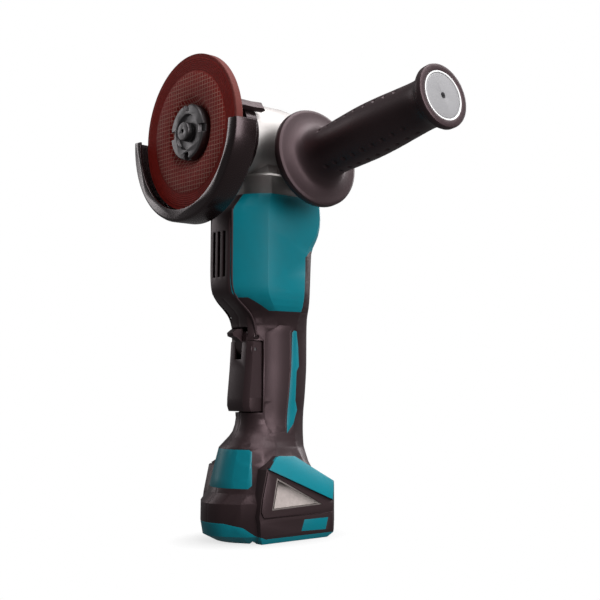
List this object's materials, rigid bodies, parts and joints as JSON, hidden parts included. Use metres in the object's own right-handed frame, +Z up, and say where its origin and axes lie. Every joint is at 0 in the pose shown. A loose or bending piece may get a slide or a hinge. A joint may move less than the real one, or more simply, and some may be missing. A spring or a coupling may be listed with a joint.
{
  "type": "angle grinder",
  "caption": "Cordless angle grinder with a paddle switch, depressed-centre wheel, half-round guard and screw-in side handle, standing on its slide-in battery foot.",
  "frame": {"origin": "where the motor axis meets the plane on which the battery foot rests", "axes": "+Z up along the motor axis from foot to gear head, wheel and spindle face -Y, fitted side handle points to +X"},
  "size_m": [0.2497, 0.1217, 0.3551],
  "materials": {
    "coloured_housing": "glass-filled nylon, fine spark texture, blue-green",
    "black_plastic": "glass-filled nylon, fine spark texture, warm black",
    "soft_grip": "moulded thermoplastic rubber over the grip",
    "cast_metal": "die-cast, bead blasted and clear coated",
    "turned_steel": "turned or ground steel",
    "hardened_steel": "hardened gear and bearing steel, oiled",
    "coated_steel": "pressed steel, satin black coating",
    "abrasive": "resin-bonded aluminium oxide with glass-fibre mesh",
    "copper_winding": "enamelled copper wire",
    "core_laminations": "stacked electrical steel sheets",
    "contact_metal": "tin-plated brass blades",
    "circuit_board": "glass-epoxy board with potting",
    "screen_metal": "woven stainless mesh",
    "cap_plastic": "light grey moulded cap"
  },
  "bodies": {
    "housing": {"baffle_plate": "black_plastic", "battery_contacts": "contact_metal", "bearing_box": "coated_steel", "bearing_box_screws": "hardened_steel", "bearing_retainer": "hardened_steel", "controller_board": "circuit_board", "controller_case": "cast_metal", "dust_covers": "black_plastic", "dust_seal": "soft_grip", "foot_panel": "coloured_housing", "foot_skirt": "coloured_housing", "front_cover": "black_plastic", "gear_housing": "cast_metal", "gear_housing_screws": "hardened_steel", "grip_pads": "soft_grip", "handle_shell_left": "black_plastic", "handle_shell_right": "black_plastic", "mesh_screens": "screen_metal", "motor_front_bearing": "hardened_steel", "motor_housing": "coloured_housing", "motor_rear_bearing": "hardened_steel", "paddle_pivot_pin": "turned_steel", "paddle_spring": "turned_steel", "rear_cover": "black_plastic", "shaft_lock_spring": "turned_steel", "shell_screws": "hardened_steel", "side_handle_cap": "cap_plastic", "side_handle_grip": "soft_grip", "side_handle_stud": "turned_steel", "side_trims": "coloured_housing", "spindle_bearing": "hardened_steel", "spindle_needle_bearing": "hardened_steel", "stator_coils": "copper_winding", "stator_core": "core_laminations", "switch_body": "black_plastic", "terminal_block": "black_plastic"},
    "spindle_group": {"spindle": "turned_steel", "gear_spacer": "hardened_steel", "crown_gear": "hardened_steel", "inner_flange": "turned_steel", "grinding_wheel": "abrasive", "wheel_centre_ring": "turned_steel", "lock_nut": "turned_steel", "spindle_bearing_inner": "hardened_steel"},
    "rotor": {"rotor_shaft": "turned_steel", "rotor_core": "core_laminations", "cooling_fan": "black_plastic", "pinion": "hardened_steel", "motor_front_bearing_inner": "hardened_steel", "motor_rear_bearing_inner": "hardened_steel"},
    "guard": {"wheel_guard": "coated_steel", "guard_clamp_band": "coated_steel", "guard_clamp_screw": "turned_steel"},
    "clamp_lever": {"guard_clamp_lever": "black_plastic"},
    "shaft_lock": {"shaft_lock_button": "black_plastic"},
    "paddle": {"paddle_lever": "black_plastic", "lock_off_pin": "turned_steel", "lock_off_spring": "turned_steel"},
    "lock_off": {"lock_off_lever": "black_plastic"},
    "plunger": {"switch_plunger": "black_plastic"}
  },
  "joints": [
    {"name": "spindle_spin", "type": "hinge", "parent": "housing", "child": "spindle_group", "pos_m": [0, 0, 0.2976], "axis": [0, 1, 0], "continuous": true},
    {"name": "motor_spin", "type": "hinge", "parent": "housing", "child": "rotor", "pos_m": [0, 0, 0.2], "axis": [0, 0, 1], "continuous": true},
    {"name": "guard_turn", "type": "hinge", "parent": "housing", "child": "guard", "pos_m": [0, 0, 0.2976], "axis": [0, 1, 0], "range_deg": [-90, 75]},
    {"name": "guard_lever_swing", "type": "hinge", "parent": "guard", "child": "clamp_lever", "pos_m": [0.02573, -0.0565, 0.31629], "axis": [0.5878, 0, -0.809], "range_deg": [0, 100]},
    {"name": "shaft_lock_press", "type": "slide", "parent": "housing", "child": "shaft_lock", "axis": [0, -1, 0], "range_m": [0, 0.003], "stiffness_N_per_m": 400, "springref_m": -0.003, "deforming": ["shaft_lock_spring"]},
    {"name": "paddle_squeeze", "type": "hinge", "parent": "housing", "child": "paddle", "pos_m": [0, -0.0245, 0.149], "axis": [1, 0, 0], "range_deg": [0, 4.2], "stiffness_Nm_per_rad": 1.2, "springref_deg": -11.46, "deforming": ["paddle_spring"]},
    {"name": "lock_off_tip", "type": "hinge", "parent": "paddle", "child": "lock_off", "pos_m": [0, -0.025, 0.14], "axis": [1, 0, 0], "range_deg": [0, 25], "stiffness_Nm_per_rad": 0.02, "springref_deg": -22.92, "deforming": ["lock_off_spring"]},
    {"name": "switch_press", "type": "slide", "parent": "housing", "child": "plunger", "axis": [0, 1, 0], "range_m": [0, 0.0023]}
  ],
  "couplings": [
    {"joint": "motor_spin", "follows": "spindle_spin", "ratio": -3.3636},
    {"joint": "switch_press", "follows": "paddle_squeeze", "m_per_rad": 0.031}
  ]
}
